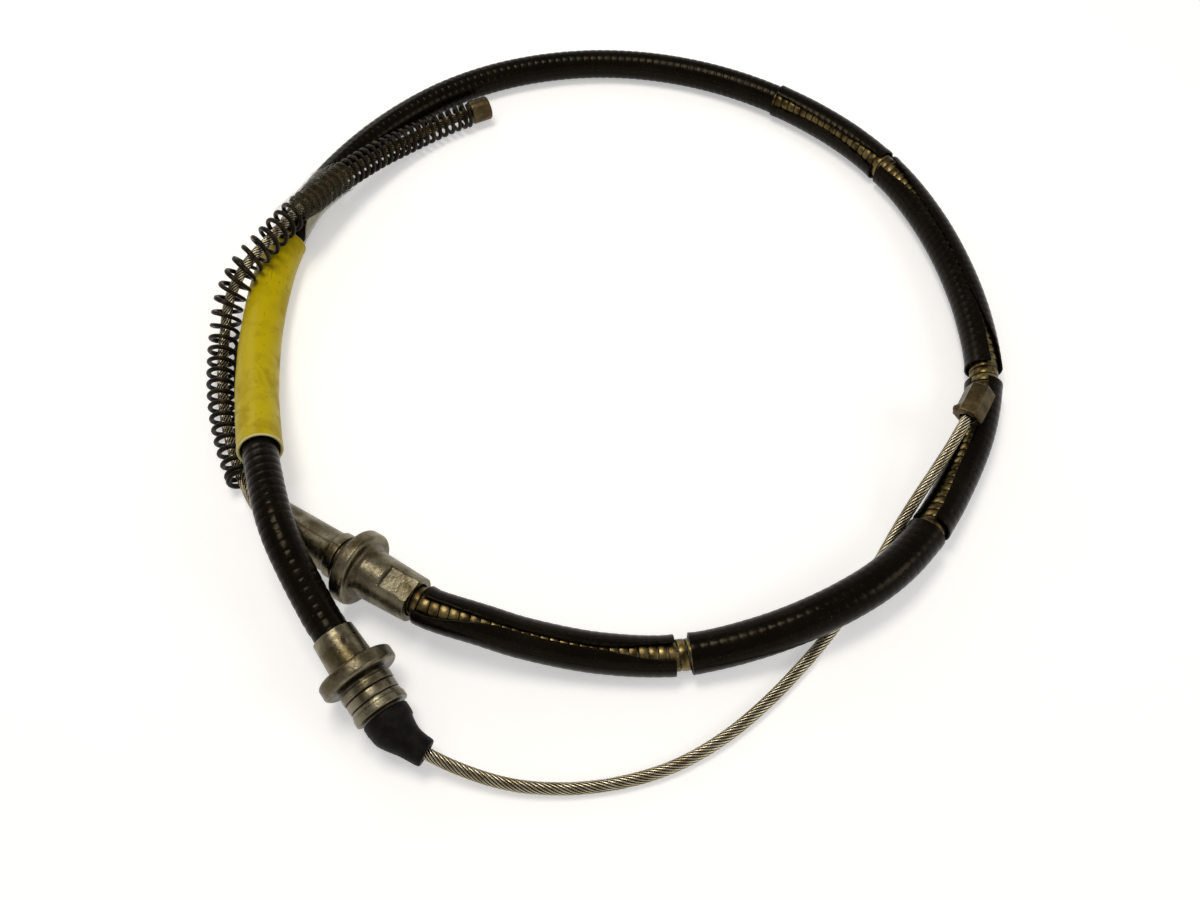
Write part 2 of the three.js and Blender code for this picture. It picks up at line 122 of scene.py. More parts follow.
# The way the rope takes through the return spring, from the button to the spring's free end
SPRING_WAY = [
    (-0.0456, 0.1069, 0.0049), (-0.0574, 0.1011, 0.0049), (-0.0664, 0.0950, 0.0051),
    (-0.0745, 0.0878, 0.0063), (-0.0818, 0.0799, 0.0082), (-0.0883, 0.0714, 0.0102),
    (-0.0942, 0.0625, 0.0124), (-0.0994, 0.0531, 0.0145), (-0.1043, 0.0435, 0.0165),
    (-0.1088, 0.0336, 0.0178), (-0.1149, 0.0246, 0.0163), (-0.1198, 0.0162, 0.0112),
    (-0.1212, 0.0070, 0.0064), (-0.1205, -0.0033, 0.0049), (-0.1186, -0.0140, 0.0048),
    (-0.1157, -0.0245, 0.0049), (-0.1118, -0.0347, 0.0050), (-0.1071, -0.0445, 0.0051),
]

# The way the casing takes between its two fittings
CASING_WAY = [
    (-0.0366, -0.0898, 0.0114), (-0.0252, -0.0926, 0.0088), (-0.0055, -0.0956, 0.0061),
    (0.0145, -0.0959, 0.0055), (0.0341, -0.0921, 0.0071), (0.0528, -0.0853, 0.0090),
    (0.0701, -0.0751, 0.0090), (0.0841, -0.0610, 0.0068), (0.0953, -0.0444, 0.0055),
    (0.1043, -0.0264, 0.0055), (0.1095, -0.0072, 0.0055), (0.1100, 0.0128, 0.0055),
    (0.1075, 0.0328, 0.0055), (0.1024, 0.0522, 0.0055), (0.0944, 0.0706, 0.0055),
    (0.0830, 0.0871, 0.0055), (0.0688, 0.1012, 0.0054), (0.0525, 0.1129, 0.0052),
    (0.0345, 0.1218, 0.0050), (0.0153, 0.1274, 0.0049), (-0.0046, 0.1294, 0.0049),
    (-0.0246, 0.1276, 0.0049), (-0.0439, 0.1221, 0.0049), (-0.0616, 0.1128, 0.0049),
    (-0.0770, 0.1000, 0.0049), (-0.0899, 0.0846, 0.0051), (-0.0999, 0.0672, 0.0056),
    (-0.1065, 0.0483, 0.0061), (-0.1095, 0.0285, 0.0064), (-0.1097, 0.0085, 0.0070),
    (-0.1074, -0.0114, 0.0092), (-0.1029, -0.0305, 0.0136), (-0.0970, -0.0491, 0.0183),
    (-0.0896, -0.0677, 0.0193),
]

# The way of the free rope, from just past the boot to its end on top of the casing
FREE_WAY = [
    (-0.0530, -0.1187, 0.0069), (-0.0469, -0.1221, 0.0059), (-0.0376, -0.1256, 0.0042),
    (-0.0278, -0.1280, 0.0028), (-0.0177, -0.1288, 0.0021), (-0.0076, -0.1283, 0.0018),
    (0.0025, -0.1265, 0.0018), (0.0122, -0.1234, 0.0018), (0.0213, -0.1188, 0.0018),
    (0.0297, -0.1131, 0.0018), (0.0375, -0.1066, 0.0018), (0.0449, -0.0995, 0.0018),
    (0.0519, -0.0921, 0.0018), (0.0585, -0.0843, 0.0018), (0.0648, -0.0763, 0.0020),
    (0.0707, -0.0681, 0.0030), (0.0762, -0.0597, 0.0047), (0.0820, -0.0516, 0.0073),
    (0.0880, -0.0437, 0.0102), (0.0937, -0.0359, 0.0128), (0.0991, -0.0276, 0.0145),
    (0.1040, -0.0194, 0.0150),
]

# Where each fitting lies: a point on its axis and the axis's direction along the rope
LEVER_NOSE = Vector((-0.0962, -0.0573, 0.0079))
LEVER_AXIS = Vector((0.849, -0.519, 0.08)).normalized()
BRACKET_MOUTH = Vector((-0.0741, -0.0928, 0.0122))
BRACKET_AXIS = Vector((0.6, -0.8, -0.17)).normalized()


# The route

def points_on_axis(start, axis, length, lead_in, lead_out):
    """Points on a fitting's straight axis, with one before it and one after it"""
    count = round(length / AXIS_POINT_SPACING)
    inside = [i * length / count for i in range(count + 1)]
    return [tuple(start + axis * d) for d in [-lead_in, *inside, length + lead_out]]


def smooth_curve(points, samples):
    """Close points on the centripetal curve through the given ones"""
    points = np.array(points)
    ends = 2 * points[[0, -1]] - points[[1, -2]]
    led = np.vstack([ends[:1], points, ends[1:]])
    gaps = np.sqrt(np.linalg.norm(np.diff(led, axis=0), axis=1))[:, None]
    p0, p1, p2, p3 = led[:-3], led[1:-2], led[2:-1], led[3:]
    d0, d1, d2 = gaps[:-2], gaps[1:-1], gaps[2:]
    t1 = ((p1 - p0) / d0 - (p2 - p0) / (d0 + d1) + (p2 - p1) / d1) * d1
    t2 = ((p2 - p1) / d1 - (p3 - p1) / (d1 + d2) + (p3 - p2) / d2) * d1
    w = np.linspace(0, 1, samples, endpoint=False)[:, None, None]
    curve = p1 + w * t1 + w**2 * (3 * (p2 - p1) - 2 * t1 - t2) + w**3 * (2 * (p1 - p2) + t1 + t2)
    return np.vstack([curve.transpose(1, 0, 2).reshape(-1, 3), points[-1:]])


route_points = [
    *SPRING_WAY,
    *points_on_axis(LEVER_NOSE, LEVER_AXIS, LEVER_LENGTH, LEVER_LEAD, LEVER_LEAD),
    *CASING_WAY,
    *points_on_axis(BRACKET_MOUTH, BRACKET_AXIS, BRACKET_LENGTH, BRACKET_LEAD_IN, BRACKET_LEAD_OUT),
    *FREE_WAY,
]
route_places = smooth_curve(route_points, ROUTE_SAMPLES) + CENTRING
route_stations = np.concatenate([[0], np.cumsum(np.linalg.norm(np.diff(route_places, axis=0), axis=1))])
route_along = np.gradient(route_places, route_stations, axis=0)
ROUTE_LENGTH = route_stations[-1]


def station_of(point):
    """The distance along the route of its point nearest to a given one"""
    return route_stations[np.argmin(np.linalg.norm(route_places - (np.array(point) + CENTRING), axis=1))]


def frames_at(station):
    """The upright frame of the route at stations: centre, left of travel, up and along"""
    centre = np.stack([np.interp(station, route_stations, route_places[:, k]) for k in range(3)], -1)
    along = np.stack([np.interp(station, route_stations, route_along[:, k]) for k in range(3)], -1)
    along /= np.linalg.norm(along, axis=-1, keepdims=True)
    left = np.cross((0.0, 0.0, 1.0), along)
    left /= np.linalg.norm(left, axis=-1, keepdims=True)
    return centre, left, np.cross(along, left), along


def lay(station, across, upward):
    """Places of points given by their station on the route, to its left and above it"""
    station, across, upward = np.broadcast_arrays(station, across, upward)
    centre, left, up, _ = frames_at(station)
    return centre + across[..., None] * left + upward[..., None] * up


def set_on_axis(start, axis):
    """What carries a piece made along +Z to a fitting's place"""
    left = Vector((0, 0, 1)).cross(axis).normalized()
    up = axis.cross(left)
    turned = Matrix((left, up, axis)).transposed().to_4x4()
    return Matrix.Translation(start + Vector(CENTRING)) @ turned


NOSE_STATION = station_of(LEVER_NOSE)
CASING_START = NOSE_STATION + LEVER_LENGTH
CASING_END = station_of(BRACKET_MOUTH)
SPRING_END = station_of(SPRING_WAY[-1])
BOOT_START = CASING_END + BRACKET_LENGTH - BOOT_CUFF
END_STOP_START = ROUTE_LENGTH - ROPE_PROUD - END_STOP_LENGTH
COVER_START = (
    CASING_START + FIRST_SLEEVE_START + sum(s["length"] + s["gap"] for s in SPLIT_SLEEVES)
    - SPLIT_SLEEVES[-1]["gap"] + BUTT_GAP
)


# Mesh making

def new_piece(name, places, faces, material, slot, nodes=(), mask=None, sharp=None):
    """A piece on the one body, in its material, standing for CAD nodes. Its mask marks hollows, where
    materials paint shade, or rims.
    """
    mesh = bpy.data.meshes.new(name)
    mesh.from_pydata(np.asarray(places, float).reshape(-1, 3).tolist(), [], faces)
    mesh.shade_smooth()
    if sharp:
        mesh.set_sharp_from_angle(angle=math.radians(sharp))
    values = np.zeros(len(mesh.vertices)) if mask is None else np.asarray(mask, float).ravel()
    mesh.attributes.new("mask", "FLOAT", "POINT").data.foreach_set("value", values)
    mesh.materials.append(material)
    piece = bpy.data.objects.new(name, mesh)
    bpy.context.scene.collection.objects.link(piece)
    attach(piece, BODY)
    if nodes:
        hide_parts(*nodes)
    return piece


def grid_faces(rows, columns, wrap_rows=False, wrap_columns=True, caps=False, first=0):
    """Quads of a grid of points, facing out of a tube whose columns turn from left to up"""
    row = np.arange(rows if wrap_rows else rows - 1)[:, None]
    column = np.arange(columns if wrap_columns else columns - 1)[None, :]
    next_row = (row + 1) % rows
    next_column = (column + 1) % columns
    corners = [
        row * columns + column,
        row * columns + next_column,
        next_row * columns + next_column,
        next_row * columns + column,
    ]
    faces = (np.stack(np.broadcast_arrays(*corners), -1).reshape(-1, 4) + first).tolist()
    if caps:
        faces.append([first + c for c in reversed(range(columns))])
        faces.append([first + (rows - 1) * columns + c for c in range(columns)])
    return faces


def ring(columns):
    """Angles round a section, from left towards up"""
    return np.arange(columns) * 2 * math.pi / columns


def wavy(values, seed, waves):
    """A smooth irregular line between -1 and 1 over the given values"""
    phases = np.random.default_rng(seed).uniform(0, 2 * math.pi, len(waves))
    return sum(np.sin(2 * math.pi * values / w + p) for w, p in zip(waves, phases)) / len(waves)


def ridge_dip(station, angle, width):
    """0 on the crown of a wound turn and 1 in the groove between two turns"""
    phase = (station / WIRE_PITCH - angle / (2 * math.pi)) % 1
    from_groove = np.minimum(phase, 1 - phase) * WIRE_PITCH
    return np.exp(-((from_groove / width) ** 2))


# Materials

def start_material(name, colour, roughness, metallic=0.0):
    """A new material with its shader, ready for links"""
    made = bpy.data.materials.new(name)
    made.use_nodes = True
    shader = made.node_tree.nodes["Principled BSDF"]
    shader.inputs["Base Color"].default_value = (*colour, 1)
    shader.inputs["Roughness"].default_value = roughness
    shader.inputs["Metallic"].default_value = metallic
    return made, made.node_tree, shader


def add_noise(tree, scale, detail=4.0, stretch=(1, 1, 1), distortion=0.0):
    """Noise in the object's own space, with its scale in cycles a metre"""
    place = tree.nodes.new("ShaderNodeTexCoord")
    mapping = tree.nodes.new("ShaderNodeMapping")
    mapping.inputs["Scale"].default_value = stretch
    texture = tree.nodes.new("ShaderNodeTexNoise")
    texture.inputs["Scale"].default_value = scale
    texture.inputs["Detail"].default_value = detail
    texture.inputs["Distortion"].default_value = distortion
    tree.links.new(place.outputs["Object"], mapping.inputs["Vector"])
    tree.links.new(mapping.outputs["Vector"], texture.inputs["Vector"])
    return texture.outputs["Fac"]


def add_mask(tree):
    attribute = tree.nodes.new("ShaderNodeAttribute")
    attribute.attribute_name = "mask"
    return attribute.outputs["Fac"]


def add_range(tree, value, low, high, to_low=0.0, to_high=1.0):
    """Maps a value from one range to another, held at both ends"""
    node = tree.nodes.new("ShaderNodeMapRange")
    node.inputs["From Min"].default_value = low
    node.inputs["From Max"].default_value = high
    node.inputs["To Min"].default_value = to_low
    node.inputs["To Max"].default_value = to_high
    tree.links.new(value, node.inputs["Value"])
    return node.outputs["Result"]


def add_math(tree, operation, a, b):
    node = tree.nodes.new("ShaderNodeMath")
    node.operation = operation
    for socket, value in zip(node.inputs, (a, b)):
        if isinstance(value, (int, float)):
            socket.default_value = value
        else:
            tree.links.new(value, socket)
    return node.outputs[0]


def add_mix(tree, factor, a, b):
    """A colour between two, each a colour or a socket"""
    node = tree.nodes.new("ShaderNodeMix")
    node.data_type = "RGBA"
    tree.links.new(factor, node.inputs["Factor"])
    for socket, value in ((node.inputs[6], a), (node.inputs[7], b)):
        if isinstance(value, tuple):
            socket.default_value = (*value, 1)
        else:
            tree.links.new(value, socket)
    return node.outputs[2]


def add_bump(tree, shader, height, strength, distance):
    node = tree.nodes.new("ShaderNodeBump")
    node.inputs["Strength"].default_value = strength
    node.inputs["Distance"].default_value = distance
    tree.links.new(height, node.inputs["Height"])
    tree.links.new(node.outputs["Normal"], shader.inputs["Normal"])


def make_galvanised(name, bright, dull):
    """Zinc on drawn wire, duller in patches, with painted shade between the wires"""
    made, tree, shader = start_material(name, bright, 0.25, 1.0)
    patches = add_range(tree, add_noise(tree, 260), 0.35, 0.7)
    zinc = add_mix(tree, patches, bright, dull)
    # Painted shade: darker where the mask says a point lies deep between the wires
    hollow = add_range(tree, add_mask(tree), 0.03, 0.36)
    tree.links.new(add_mix(tree, hollow, zinc, (0.022, 0.016, 0.009)), shader.inputs["Base Color"])
    grain = add_noise(tree, 2600, 3)
    tree.links.new(add_range(tree, grain, 0.3, 0.7, 0.17, 0.34), shader.inputs["Roughness"])
    add_bump(tree, shader, grain, 0.15, 0.05 * MM)
    return made


def make_flat_wire():
    """Oily brown flat wire in bright and dull patches, with painted shade at the edges of each turn"""
    made, tree, shader = start_material("flat_wire", (0.2, 0.15, 0.06), 0.25, 1.0)
    patches = add_range(tree, add_noise(tree, 330), 0.38, 0.62)
    crown = add_mix(tree, patches, (0.2, 0.15, 0.06), (0.05, 0.034, 0.013))
    # Painted shade: darker on the wire's sides and crown edges, in the grooves between turns
    edge = add_range(tree, add_mask(tree), 0.74, 1.0)
    tree.links.new(add_mix(tree, edge, crown, (0.03, 0.02, 0.01)), shader.inputs["Base Color"])
    grain = add_noise(tree, 1800, 4)
    tree.links.new(add_range(tree, grain, 0.3, 0.7, 0.24, 0.44), shader.inputs["Roughness"])
    add_bump(tree, shader, grain, 0.2, 0.06 * MM)
    return made


def make_black_vinyl():
    """Glossy black vinyl with handling marks and a little brown dust"""
    made, tree, shader = start_material("black_vinyl", (0.003, 0.0025, 0.002), 0.25)
    shader.inputs["Specular IOR Level"].default_value = 0.09
    shader.inputs["Specular Tint"].default_value = (1.0, 0.82, 0.56, 1)
    specks = add_range(tree, add_noise(tree, 2100, 6), 0.67, 0.75)
    film = add_range(tree, add_noise(tree, 90, 5), 0.45, 0.8, 0.0, 0.35)
    dusty = add_mix(tree, film, (0.0025, 0.002, 0.0015), (0.012, 0.008, 0.004))
    tree.links.new(add_mix(tree, specks, dusty, (0.05, 0.034, 0.016)), shader.inputs["Base Color"])
    smears = add_noise(tree, 210, 6, distortion=0.6)
    tree.links.new(add_range(tree, smears, 0.3, 0.75, 0.14, 0.34), shader.inputs["Roughness"])
    add_bump(tree, shader, add_noise(tree, 1500, 5), 0.14, 0.08 * MM)
    return made


def make_yellow_vinyl():
    """Soft yellow vinyl, dirty in smudges and specks, paler on its cut rims"""
    made, tree, shader = start_material("yellow_vinyl", (0.45, 0.34, 0.0), 0.42)
    shader.inputs["Specular IOR Level"].default_value = 0.2
    shader.inputs["Specular Tint"].default_value = (1.0, 0.9, 0.45, 1)
    smudges = add_range(tree, add_noise(tree, 120, 6, distortion=0.8), 0.46, 0.74)
    body = add_mix(tree, smudges, (0.5, 0.385, 0.0), (0.33, 0.24, 0.0))
    specks = add_range(tree, add_noise(tree, 1300, 5), 0.66, 0.73)
    scratches = add_range(tree, add_noise(tree, 500, 4, stretch=(3, 0.35, 1)), 0.68, 0.74, 0.0, 0.6)
    marks = add_math(tree, "MAXIMUM", specks, scratches)
    dirty = add_mix(tree, marks, body, (0.1, 0.065, 0.004))
    rim = add_range(tree, add_mask(tree), 0.2, 1.0)
    tree.links.new(add_mix(tree, rim, dirty, (0.72, 0.66, 0.3)), shader.inputs["Base Color"])
    tree.links.new(add_range(tree, smudges, 0.0, 1.0, 0.34, 0.6), shader.inputs["Roughness"])
    add_bump(tree, shader, add_noise(tree, 900, 6), 0.25, 0.12 * MM)
    return made


def make_clear_film():
    """Clear tape gone slightly yellow, milky along its creases"""
    made, tree, shader = start_material("clear_film", (0.3, 0.25, 0.1), 0.08)
    creases = add_range(tree, add_noise(tree, 300, 3, distortion=0.8), 0.62, 0.8)
    edge = add_range(tree, add_mask(tree), 0.2, 1.0)
    milky = add_math(tree, "MAXIMUM", creases, edge)
    colour = add_mix(tree, milky, (0.07, 0.055, 0.012), (0.42, 0.38, 0.22))
    tree.links.new(colour, shader.inputs["Base Color"])
    tree.links.new(add_range(tree, milky, 0.0, 1.0, 0.1, 0.6), shader.inputs["Alpha"])
    shader.inputs["Specular IOR Level"].default_value = 0.5
    add_bump(tree, shader, creases, 0.2, 0.15 * MM)
    return made


def make_cast_metal():
    """Satin cast metal with a fine grain and brown stains, with painted shade in its corners"""
    made, tree, shader = start_material("cast_metal", (0.3, 0.27, 0.2), 0.35, 1.0)
    stains = add_range(tree, add_noise(tree, 150, 7, distortion=0.5), 0.4, 0.66)
    body = add_mix(tree, stains, (0.21, 0.185, 0.125), (0.075, 0.058, 0.028))
    specks = add_range(tree, add_noise(tree, 1700, 4), 0.6, 0.72, 0.0, 0.7)
    pitted = add_mix(tree, specks, body, (0.06, 0.045, 0.022))
    # Painted shade: darker where the mask marks corners, the parting line, the recess step and the pit
    corner = add_range(tree, add_mask(tree), 0.0, 1.0)
    tree.links.new(add_mix(tree, corner, pitted, (0.02, 0.014, 0.008)), shader.inputs["Base Color"])
    grain = add_noise(tree, 1100, 8)
    tree.links.new(add_range(tree, grain, 0.3, 0.7, 0.24, 0.44), shader.inputs["Roughness"])
    add_bump(tree, shader, grain, 0.5, 0.16 * MM)
    return made


def make_black_rubber():
    """Matt black rubber with a fine grain"""
    made, tree, shader = start_material("black_rubber", (0.006, 0.005, 0.004), 0.6)
    shader.inputs["Specular IOR Level"].default_value = 0.1
    dust = add_range(tree, add_noise(tree, 380, 6), 0.45, 0.85)
    colour = add_mix(tree, dust, (0.003, 0.0025, 0.002), (0.014, 0.01, 0.007))
    tree.links.new(colour, shader.inputs["Base Color"])
    grain = add_noise(tree, 2400, 4)
    tree.links.new(add_range(tree, grain, 0.3, 0.7, 0.42, 0.68), shader.inputs["Roughness"])
    add_bump(tree, shader, grain, 0.3, 0.08 * MM)
    return made


def make_spring_steel():
    """Black oiled wire with brown wear"""
    made, tree, shader = start_material("spring_steel", (0.006, 0.005, 0.004), 0.28)
    shader.inputs["Specular IOR Level"].default_value = 0.12
    shader.inputs["Specular Tint"].default_value = (1.0, 0.85, 0.6, 1)
    wear = add_range(tree, add_noise(tree, 420, 6), 0.52, 0.72)
    colour = add_mix(tree, wear, (0.005, 0.004, 0.003), (0.045, 0.028, 0.012))
    tree.links.new(colour, shader.inputs["Base Color"])
    grain = add_noise(tree, 2000, 4)
    tree.links.new(add_range(tree, grain, 0.3, 0.7, 0.2, 0.42), shader.inputs["Roughness"])
    add_bump(tree, shader, grain, 0.15, 0.05 * MM)
    return made


def make_swaged_steel():
    """Brownish swaged steel with painted shade in its corners"""
    made, tree, shader = start_material("swaged_steel", (0.16, 0.11, 0.065), 0.38, 1.0)
    stains = add_range(tree, add_noise(tree, 300, 7), 0.4, 0.68)
    body = add_mix(tree, stains, (0.1, 0.075, 0.035), (0.04, 0.027, 0.012))
    # Painted shade where the mask marks hollow corners
    corner = add_range(tree, add_mask(tree), 0.0, 1.0)
    tree.links.new(add_mix(tree, corner, body, (0.04, 0.03, 0.02)), shader.inputs["Base Color"])
    grain = add_noise(tree, 1500, 6)
    tree.links.new(add_range(tree, grain, 0.3, 0.7, 0.28, 0.5), shader.inputs["Roughness"])
    add_bump(tree, shader, grain, 0.25, 0.1 * MM)
    return made


def make_nylon():
    """Plain off-white nylon, soiled in patches"""
    made, tree, shader = start_material("nylon_liner", (0.6, 0.57, 0.47), 0.45)
    soiled = add_range(tree, add_noise(tree, 300, 4), 0.4, 0.7)
    tree.links.new(add_mix(tree, soiled, (0.62, 0.6, 0.5), (0.4, 0.36, 0.26)), shader.inputs["Base Color"])
    return made


galvanised = make_galvanised("galvanised_rope", (0.62, 0.56, 0.41), (0.34, 0.28, 0.17))
# A darker copy of the galvanised rope for the stretch in the tight turns: painted shade of the close coils
shaded_rope = make_galvanised("shaded_rope", (0.24, 0.19, 0.11), (0.1, 0.075, 0.035))
flat_wire = make_flat_wire()
black_vinyl = make_black_vinyl()
yellow_vinyl = make_yellow_vinyl()
clear_film = make_clear_film()
cast_metal = make_cast_metal()
black_rubber = make_black_rubber()
spring_steel = make_spring_steel()
swaged_steel = make_swaged_steel()
nylon = make_nylon()


# The camera, as the photograph was taken: 60 degrees down on the table

def make_camera():
    data = bpy.data.cameras.new("camera")
    data.lens = 31.32
    data.sensor_width = 36
    camera = bpy.data.objects.new("camera", data)
    camera.location = (-0.001006, -0.186892, 0.266082)
    camera.rotation_euler = (math.radians(30), 0, 0)
    bpy.context.scene.collection.objects.link(camera)
    bpy.context.scene.camera = camera


make_camera()


# The rope

def make_stranded_rope(name, start, end, material):
    """Twelve wires laid round a core, from one station to another"""
    columns_per_wire = 6
    row_spacing = 0.7 * MM
    wire_radius = ROPE_DIAMETER / 10
    pitch_radius = ROPE_DIAMETER / 2 - wire_radius
    count = math.ceil((end - start) / row_spacing) + 1
    station = np.linspace(start, end, count)[:, None]
    angle = ring(ROPE_WIRES * columns_per_wire)[None, :]
    wire_share = 2 * math.pi / ROPE_WIRES
    off_crown = (angle + wire_share / 2) % wire_share - wire_share / 2
    reach = np.sqrt(np.maximum(wire_radius**2 - (pitch_radius * np.sin(off_crown)) ** 2, 0))
    radius = pitch_radius * np.cos(off_crown) + reach
    turned = angle + 2 * math.pi * station / ROPE_LAY
    places = lay(station, radius * np.cos(turned), radius * np.sin(turned))
    # How deep each point lies between the wires, which the material turns into painted shade
    depth = (ROPE_DIAMETER / 2 - radius) / (ROPE_DIAMETER / 2 - pitch_radius * math.cos(wire_share / 2))
    mask = np.broadcast_to(depth, places.shape[:2])
    faces = grid_faces(count, angle.size, caps=True)
    return new_piece(name, places, faces, material, "galvanised_rope", ["inner_rope"], mask), station[:, 0]


def make_hidden_rope():
    """The stretch that the fittings and the casing hide"""
    start = NOSE_STATION + ROPE_IN_NOSE - ROPE_LAP
    end = BOOT_START + BOOT_LENGTH - ROPE_IN_BOOT + ROPE_LAP
    thinner_by = 0.1 * MM
    station = np.linspace(start, end, 160)[:, None]
    angle = ring(16)[None, :]
    radius = ROPE_DIAMETER / 2 - thinner_by
    places = lay(station, radius * np.cos(angle), radius * np.sin(angle))
    faces = grid_faces(station.size, angle.size, caps=True)
    new_piece("rope_in_casing", places, faces, galvanised, "galvanised_rope", ["inner_rope"])


def make_wire_ends():
    """The cut ends of the nineteen wires, each a little longer or shorter than the next"""
    random = np.random.default_rng(4)
    slimmer = 0.94
    stub_length = 2 * MM
    unevenness = 0.35
    bevel_length = 0.08 * MM
    bevel_share = 0.85
    wire_radius = ROPE_DIAMETER / 10 * slimmer
    angle = ring(10)
    places, faces = [], []
    for wires, ring_radius in ((1, 0.0), (6, 2 * wire_radius), (12, 4 * wire_radius)):
        for wire in range(wires):
            turn = 2 * math.pi * (wire / wires + ROUTE_LENGTH / ROPE_LAY)
            end = ROUTE_LENGTH - random.uniform(0.0, unevenness) * MM
            station = np.array([[ROUTE_LENGTH - stub_length], [end - bevel_length], [end]])
            radius = wire_radius * np.array([[1.0], [1.0], [bevel_share]])
            across = ring_radius * math.cos(turn) + radius * np.cos(angle)
            upward = ring_radius * math.sin(turn) + radius * np.sin(angle)
            rows = lay(station, across, upward)
            faces += grid_faces(3, angle.size, caps=True, first=len(places))
            places += rows.reshape(-1, 3).tolist()
    return new_piece("rope_wire_ends", places, faces, galvanised, "galvanised_rope", ["inner_rope"], sharp=40)


tight_end = BUTTON_LENGTH + SPRING_TIGHT_SHARE * (SPRING_END - BUTTON_LENGTH)
make_stranded_rope("rope_in_tight_turns", BUTTON_LENGTH - BUTTON_SOCKET, tight_end, shaded_rope)
make_stranded_rope("rope_in_open_turns", tight_end, NOSE_STATION + ROPE_IN_NOSE, galvanised)
free_rope, free_stations = make_stranded_rope(
    "free_rope", BOOT_START + BOOT_LENGTH - ROPE_IN_BOOT, ROUTE_LENGTH - WIRE_END_SETBACK, galvanised
)
make_hidden_rope()
wire_ends = make_wire_ends()


# Wound wire: the armour and the spring

def wound_wire(name, station_after, turns, per_turn, radius, section, hand, start_angle, **looks):
    """A wire wound round the route. Its section is given as pairs: outward and along the route."""
    turn = np.linspace(0, turns, round(turns * per_turn) + 1)[:, None]
    angle = start_angle + hand * 2 * math.pi * turn
    outward = radius + section[None, :, 0]
    along = -hand * section[None, :, 1]
    places = lay(station_after(turn) + along, outward * np.cos(angle), outward * np.sin(angle))
    faces = grid_faces(turn.size, len(section), caps=True)
    return new_piece(name, places, faces, **looks)


def make_armour():
    """One flat wire wound close into a tube from fitting to fitting"""
    start = CASING_START - LEVER_SEAT_DEPTH + BUTT_GAP + WIRE_PITCH / 2
    end = CASING_END + BRACKET_SEAT_DEPTH - BUTT_GAP - WIRE_PITCH / 2
    turns = (end - start) / WIRE_PITCH
    per_turn = 24
    around = ring(12)
    squareness = 0.32
    fall_at_edges = 0.09 * MM
    crown_over = 0.3 * MM
    outward = np.sign(np.cos(around)) * np.abs(np.cos(around)) ** squareness * WIRE_THICKNESS / 2
    along = np.sign(np.sin(around)) * np.abs(np.sin(around)) ** squareness * (WIRE_PITCH - WIRE_GAP) / 2
    crown_fall = fall_at_edges * (along / (WIRE_PITCH / 2)) ** 2
    section = np.stack([outward - np.where(outward > 0, crown_fall, 0), along], -1)
    # The mask for painted shade: full on the wire's sides, rising towards the crown's edges
    groove_shade = np.where(outward > crown_over, np.abs(along) / (WIRE_PITCH / 2), 1.0)
    mask = np.broadcast_to(groove_shade, (round(turns * per_turn) + 1, around.size))
    wound_wire(
        "conduit_armour_wire",
        lambda turn: start + turn * WIRE_PITCH,
        turns,
        per_turn,
        ARMOUR_RADIUS - WIRE_THICKNESS / 2,
        section,
        1,
        0.0,
        material=flat_wire,
        slot="flat_wire",
        nodes=["conduit_armour"],
        mask=mask,
    )


def make_spring():
    """Open turns at the free end, tighter ones towards the button and closed turns at both ends"""
    start = BUTTON_LENGTH + BUTT_GAP
    closed_turn_gap = 0.25 * MM
    per_turn = 32
    closed_pitch = SPRING_WIRE + closed_turn_gap
    closed_length = SPRING_CLOSED_TURNS * closed_pitch
    open_length = SPRING_END - start - 2 * closed_length - SPRING_WIRE
    tight_length = SPRING_TIGHT_SHARE * open_length
    runs = [closed_length, tight_length, open_length - tight_length, closed_length]
    pitches = [closed_pitch, SPRING_PITCH_TIGHT, SPRING_PITCH_OPEN, closed_pitch]
    turn_marks = np.concatenate([[0], np.cumsum(np.array(runs) / np.array(pitches))])
    length_marks = np.concatenate([[0], np.cumsum(runs)]) + start + SPRING_WIRE / 2
    around = ring(12)
    section = np.stack([np.cos(around), np.sin(around)], -1) * SPRING_WIRE / 2
    wound_wire(
        "return_spring_wire",
        lambda turn: np.interp(turn, turn_marks, length_marks),
        turn_marks[-1],
        per_turn,
        (SPRING_DIAMETER - SPRING_WIRE) / 2,
        section,
        -1,
        math.pi / 2,
        material=spring_steel,
        slot="spring_steel",
        nodes=["return_spring"],
    )


make_armour()
make_spring()


# The tubes drawn over the armour

def make_tube(name, start, end, outer, inner, lip, spacing, columns, material, slot, node):
    """A closed tube with rounded rims. Outer and inner give a radius for each station and angle."""
    angle = ring(columns)[None, :]
    outer_rows = np.linspace(start + lip, end - lip, math.ceil((end - start) / spacing))[:, None]
    inner_spacing = 5 * MM
    inner_rows = np.linspace(end - lip, start + lip, math.ceil((end - start) / inner_spacing))[:, None]
    quarter = np.linspace(0, math.pi, 7)[1:-1][:, None]
    shape = (1, columns)
    wall = float(np.mean(outer(outer_rows, angle)) - np.mean(inner(inner_rows, angle)))
    mid_end = (outer(np.full(shape, end), angle) + inner(np.full(shape, end), angle)) / 2
    mid_start = (outer(np.full(shape, start), angle) + inner(np.full(shape, start), angle)) / 2
    stations = [
        outer_rows,
        end - lip + lip * np.sin(quarter),
        inner_rows,
        start + lip - lip * np.sin(quarter),
    ]
    radii = [
        outer(outer_rows, angle),
        mid_end + np.cos(quarter) * wall / 2,
        inner(inner_rows, angle),
        mid_start - np.cos(quarter) * wall / 2,
    ]
    station = np.concatenate([np.broadcast_to(s, (len(s), columns)) for s in stations])
    radius = np.concatenate([np.broadcast_to(r, (len(s), columns)) for r, s in zip(radii, stations)])
    mask = np.concatenate([
        np.full((len(s), columns), value) for s, value in zip(stations, (0.0, 1.0, 0.0, 1.0))
    ])
    places = lay(station, radius * np.cos(angle), radius * np.sin(angle))
    faces = grid_faces(len(station), columns, wrap_rows=True)
    return new_piece(name, places, faces, material, slot, [node], mask)


